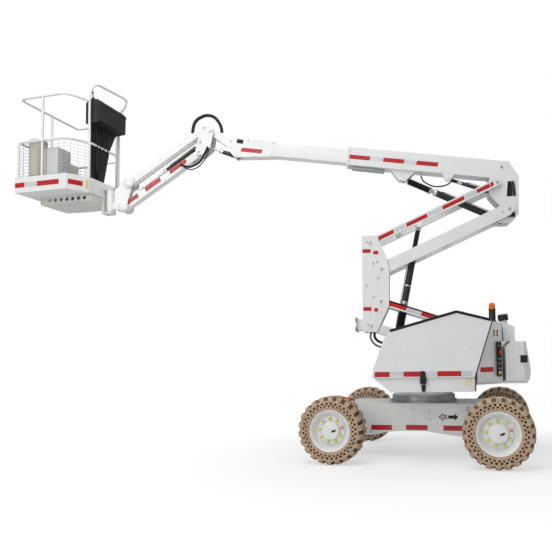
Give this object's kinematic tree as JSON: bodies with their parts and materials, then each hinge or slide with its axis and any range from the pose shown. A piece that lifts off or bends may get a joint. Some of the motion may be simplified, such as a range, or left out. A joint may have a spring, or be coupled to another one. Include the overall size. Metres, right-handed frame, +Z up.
{
  "type": "articulating boom lift",
  "caption": "Self-propelled articulating boom lift on solid tyres: slewing turntable, folding riser, telescopic boom, jib and work basket.",
  "frame": {"origin": "on the ground, at the middle of the machine's footprint", "axes": "+Z up; +X from the basket towards the counterweight, along the turntable and booms; +Y to the far side"},
  "size_m": [7.2998, 2.7372, 5.32],
  "materials": {
    "white_paint": "semi-gloss, lightly worn",
    "rim_paint": "satin",
    "black_paint": "satin",
    "bare_steel": "dull",
    "chrome_rod": "polished",
    "sand_tyre": "matte solid rubber",
    "black_plastic": "matte",
    "amber_lens": "glossy translucent",
    "cream_paint": "satin",
    "galvanised_wire": "dull",
    "cream_plastic": "matte",
    "white_plastic": "matte"
  },
  "bodies": {
    "chassis": {"chassis_frame": "white_paint", "front_axle": "black_paint", "rear_axle": "black_paint", "slew_ring": "bare_steel"},
    "tie_rod": {"tie_rod": "bare_steel"},
    "steer_knuckle_near": {"steer_knuckle_near": "black_paint"},
    "wheel_front_near": {"tyre_front_near": "sand_tyre", "rim_front_near": "rim_paint"},
    "wheel_rear_near": {"tyre_rear_near": "sand_tyre", "rim_rear_near": "rim_paint"},
    "hood_near": {"hood_near": "white_paint"},
    "steer_knuckle_far": {"steer_knuckle_far": "black_paint"},
    "wheel_front_far": {"tyre_front_far": "sand_tyre", "rim_front_far": "rim_paint"},
    "wheel_rear_far": {"tyre_rear_far": "sand_tyre", "rim_rear_far": "rim_paint"},
    "hood_far": {"hood_far": "white_paint"},
    "turntable": {"turntable": "white_paint", "rear_cowl_near": "white_paint", "rear_cowl_far": "white_paint", "counterweight": "white_paint", "fluid_tank": "white_paint", "ground_controls": "black_plastic", "engine": "bare_steel", "beacon_base": "black_plastic", "beacon_lens": "amber_lens"},
    "lower_link_bottom": {"lower_link_bottom": "white_paint"},
    "lower_link_top": {"lower_link_top": "white_paint"},
    "mast": {"mast": "white_paint"},
    "upper_link_bottom": {"upper_link_bottom": "white_paint"},
    "upper_link_top": {"upper_link_top": "white_paint"},
    "end_link": {"end_link": "white_paint"},
    "boom_base": {"boom_base": "white_paint"},
    "boom_extension": {"boom_extension": "white_paint"},
    "jib_knuckle": {"jib_knuckle": "white_paint"},
    "jib_lower_arm": {"jib_lower_arm": "white_paint"},
    "jib_upper_arm": {"jib_upper_arm": "white_paint"},
    "jib_end_bracket": {"jib_end_bracket": "white_paint"},
    "basket": {"basket_frame": "cream_paint", "basket_floor": "white_paint", "basket_rails": "white_paint", "mesh_panel_near": "galvanised_wire", "mesh_panel_front": "galvanised_wire", "control_console": "black_plastic", "canister": "cream_plastic", "tool_bin": "cream_plastic", "storage_box": "white_plastic"},
    "basket_gate": {"basket_gate": "white_paint"},
    "riser_cylinder_barrel": {"riser_cylinder_barrel": "black_paint"},
    "riser_cylinder_rod": {"riser_cylinder_rod": "chrome_rod"},
    "lift_cylinder_barrel": {"lift_cylinder_barrel": "black_paint"},
    "lift_cylinder_rod": {"lift_cylinder_rod": "chrome_rod"},
    "level_cylinder_barrel": {"level_cylinder_barrel": "black_paint"},
    "level_cylinder_rod": {"level_cylinder_rod": "chrome_rod"},
    "tilt_cylinder_barrel": {"tilt_cylinder_barrel": "black_paint"},
    "tilt_cylinder_rod": {"tilt_cylinder_rod": "chrome_rod"},
    "jib_cylinder_barrel": {"jib_cylinder_barrel": "black_paint"},
    "jib_cylinder_rod": {"jib_cylinder_rod": "chrome_rod"}
  },
  "joints": [
    {"name": "steer_near", "type": "hinge", "parent": "chassis", "child": "steer_knuckle_near", "pos_m": [0.92154, -0.53281, 0.419], "axis": [0, 0, 1], "range_deg": [-32, 32]},
    {"name": "steer_far", "type": "hinge", "parent": "chassis", "child": "steer_knuckle_far", "pos_m": [1.17159, 0.88531, 0.419], "axis": [0, 0, 1], "range_deg": [-32, 32]},
    {"name": "tie_rod_slide", "type": "slide", "parent": "chassis", "child": "tie_rod", "axis": [-0.1736, -0.9848, 0], "range_m": [-0.06064, 0.06064]},
    {"name": "spin_front_near", "type": "hinge", "parent": "steer_knuckle_near", "child": "wheel_front_near", "pos_m": [0.87422, -0.80117, 0.419], "axis": [0.1736, 0.9848, 0], "continuous": true},
    {"name": "spin_rear_near", "type": "hinge", "parent": "chassis", "child": "wheel_rear_near", "pos_m": [2.87338, -1.15368, 0.419], "axis": [0.1736, 0.9848, 0], "continuous": true},
    {"name": "spin_front_far", "type": "hinge", "parent": "steer_knuckle_far", "child": "wheel_front_far", "pos_m": [1.21891, 1.15368, 0.419], "axis": [0.1736, 0.9848, 0], "continuous": true},
    {"name": "spin_rear_far", "type": "hinge", "parent": "chassis", "child": "wheel_rear_far", "pos_m": [3.21807, 0.80117, 0.419], "axis": [0.1736, 0.9848, 0], "continuous": true},
    {"name": "slew", "type": "hinge", "parent": "chassis", "child": "turntable", "pos_m": [2.04615, 0, 0.965], "axis": [0, 0, 1], "range_deg": [-170, 190]},
    {"name": "hood_near_swing", "type": "hinge", "parent": "turntable", "child": "hood_near", "pos_m": [2.66415, -0.993, 1.4], "axis": [0, 0, 1], "range_deg": [0, 95]},
    {"name": "hood_far_swing", "type": "hinge", "parent": "turntable", "child": "hood_far", "pos_m": [2.66415, 0.993, 1.4], "axis": [0, 0, -1], "range_deg": [0, 95]},
    {"name": "riser_raise", "type": "hinge", "parent": "turntable", "child": "lower_link_bottom", "pos_m": [2.81615, 0, 1.248], "axis": [0, 1, 0], "range_deg": [-18, 45]},
    {"name": "lower_top_swing", "type": "hinge", "parent": "turntable", "child": "lower_link_top", "pos_m": [2.95615, 0, 1.588], "axis": [0, 1, 0], "range_deg": [-18.01, 45.01]},
    {"name": "mast_level", "type": "hinge", "parent": "lower_link_bottom", "child": "mast", "pos_m": [1.34624, 0, 1.73982], "axis": [0, -1, 0], "range_deg": [-18.01, 45.01]},
    {"name": "upper_bottom_swing", "type": "hinge", "parent": "mast", "child": "upper_link_bottom", "pos_m": [1.50124, 0, 2.51982], "axis": [0, -1, 0], "range_deg": [-18.01, 45.01]},
    {"name": "upper_top_swing", "type": "hinge", "parent": "mast", "child": "upper_link_top", "pos_m": [1.34624, 0, 2.88982], "axis": [0, -1, 0], "range_deg": [-18.01, 45.01]},
    {"name": "end_link_level", "type": "hinge", "parent": "upper_link_bottom", "child": "end_link", "pos_m": [3.24613, 0, 3.30401], "axis": [0, 1, 0], "range_deg": [-18.01, 45.01]},
    {"name": "boom_raise", "type": "hinge", "parent": "end_link", "child": "boom_base", "pos_m": [3.16613, 0, 3.90401], "axis": [0, 1, 0], "range_deg": [-8, 60]},
    {"name": "boom_telescope", "type": "slide", "parent": "boom_base", "child": "boom_extension", "axis": [-0.9912, 0, 0.1323], "range_m": [-1, 0.6]},
    {"name": "basket_level", "type": "hinge", "parent": "boom_extension", "child": "jib_knuckle", "pos_m": [-0.93749, 0, 4.60287], "axis": [0, -1, 0], "range_deg": [-8.01, 60.01]},
    {"name": "jib_raise", "type": "hinge", "parent": "jib_knuckle", "child": "jib_lower_arm", "pos_m": [-1.10249, 0, 4.30787], "axis": [0, 1, 0], "range_deg": [-20, 95]},
    {"name": "jib_upper_swing", "type": "hinge", "parent": "jib_knuckle", "child": "jib_upper_arm", "pos_m": [-1.02249, 0, 4.65787], "axis": [0, 1, 0], "range_deg": [-20.01, 95.01]},
    {"name": "jib_end_level", "type": "hinge", "parent": "jib_lower_arm", "child": "jib_end_bracket", "pos_m": [-2.22583, 0, 3.55017], "axis": [0, -1, 0], "range_deg": [-20.01, 95.01]},
    {"name": "basket_rotate", "type": "hinge", "parent": "jib_end_bracket", "child": "basket", "pos_m": [-2.45083, 0, 3.7], "axis": [0, 0, 1], "range_deg": [-80, 100]},
    {"name": "gate_swing", "type": "hinge", "parent": "basket", "child": "basket_gate", "pos_m": [-3.0736, 0.70079, 4.43], "axis": [0, 0, -1], "range_deg": [0, 85]},
    {"name": "riser_barrel_swing", "type": "hinge", "parent": "lower_link_bottom", "child": "riser_cylinder_barrel", "pos_m": [1.71609, 0, 1.61607], "axis": [0, -1, 0], "range_deg": [-21.33, 53.3]},
    {"name": "riser_rod_slide", "type": "slide", "parent": "riser_cylinder_barrel", "child": "riser_cylinder_rod", "axis": [0.1987, 0, 0.9801], "range_m": [-0.26859, 0.66998]},
    {"name": "lift_barrel_swing", "type": "hinge", "parent": "end_link", "child": "lift_cylinder_barrel", "pos_m": [3.16113, 0, 3.189], "axis": [0, -1, 0], "range_deg": [-43.79, 5.85]},
    {"name": "lift_rod_slide", "type": "slide", "parent": "lift_cylinder_barrel", "child": "lift_cylinder_rod", "axis": [-0.9045, 0, 0.4264], "range_m": [-0.07418, 0.54984]},
    {"name": "level_barrel_swing", "type": "hinge", "parent": "end_link", "child": "level_cylinder_barrel", "pos_m": [3.02113, -0.074, 3.56901], "axis": [0, -1, 0], "range_deg": [-52.32, 6.98]},
    {"name": "level_rod_slide", "type": "slide", "parent": "level_cylinder_barrel", "child": "level_cylinder_rod", "axis": [-0.9412, 0, 0.3378], "range_m": [-0.04857, 0.35776]},
    {"name": "tilt_barrel_swing", "type": "hinge", "parent": "boom_extension", "child": "tilt_cylinder_barrel", "pos_m": [-0.56284, 0, 4.23509], "axis": [0, -1, 0], "range_deg": [-14.73, 1.97]},
    {"name": "tilt_rod_slide", "type": "slide", "parent": "tilt_cylinder_barrel", "child": "tilt_cylinder_rod", "axis": [-0.9314, 0, 0.364], "range_m": [-0.18157, 0.02508]},
    {"name": "jib_barrel_swing", "type": "hinge", "parent": "jib_knuckle", "child": "jib_cylinder_barrel", "pos_m": [-1.08249, 0, 4.44787], "axis": [0, -1, 0], "range_deg": [-93.53, 19.7]},
    {"name": "jib_rod_slide", "type": "slide", "parent": "jib_cylinder_barrel", "child": "jib_cylinder_rod", "axis": [-0.8197, 0, -0.5728], "range_m": [-0.21356, 0.04575]}
  ],
  "couplings": [
    {"joint": "steer_far", "follows": "steer_near", "ratio": 1},
    {"joint": "tie_rod_slide", "follows": "steer_near", "m_per_rad": 0.105},
    {"joint": "lower_top_swing", "follows": "riser_raise", "ratio": 1},
    {"joint": "mast_level", "follows": "riser_raise", "ratio": 1},
    {"joint": "upper_bottom_swing", "follows": "riser_raise", "ratio": 1},
    {"joint": "upper_top_swing", "follows": "riser_raise", "ratio": 1},
    {"joint": "end_link_level", "follows": "riser_raise", "ratio": 1},
    {"joint": "basket_level", "follows": "boom_raise", "ratio": 1},
    {"joint": "jib_upper_swing", "follows": "jib_raise", "ratio": 1},
    {"joint": "jib_end_level", "follows": "jib_raise", "ratio": 1},
    {"joint": "riser_barrel_swing", "follows": "riser_raise", "ratio": 1.1843},
    {"joint": "riser_rod_slide", "follows": "riser_raise", "m_per_rad": 0.85177},
    {"joint": "lift_barrel_swing", "follows": "boom_raise", "ratio": -0.72965},
    {"joint": "lift_rod_slide", "follows": "boom_raise", "m_per_rad": 0.5241},
    {"joint": "level_barrel_swing", "follows": "boom_raise", "ratio": -0.87186},
    {"joint": "level_rod_slide", "follows": "boom_raise", "m_per_rad": 0.34068},
    {"joint": "tilt_barrel_swing", "follows": "boom_raise", "ratio": -0.24531},
    {"joint": "tilt_rod_slide", "follows": "boom_raise", "m_per_rad": -0.17243},
    {"joint": "jib_barrel_swing", "follows": "jib_raise", "ratio": -0.9844},
    {"joint": "jib_rod_slide", "follows": "jib_raise", "m_per_rad": -0.1282}
  ]
}
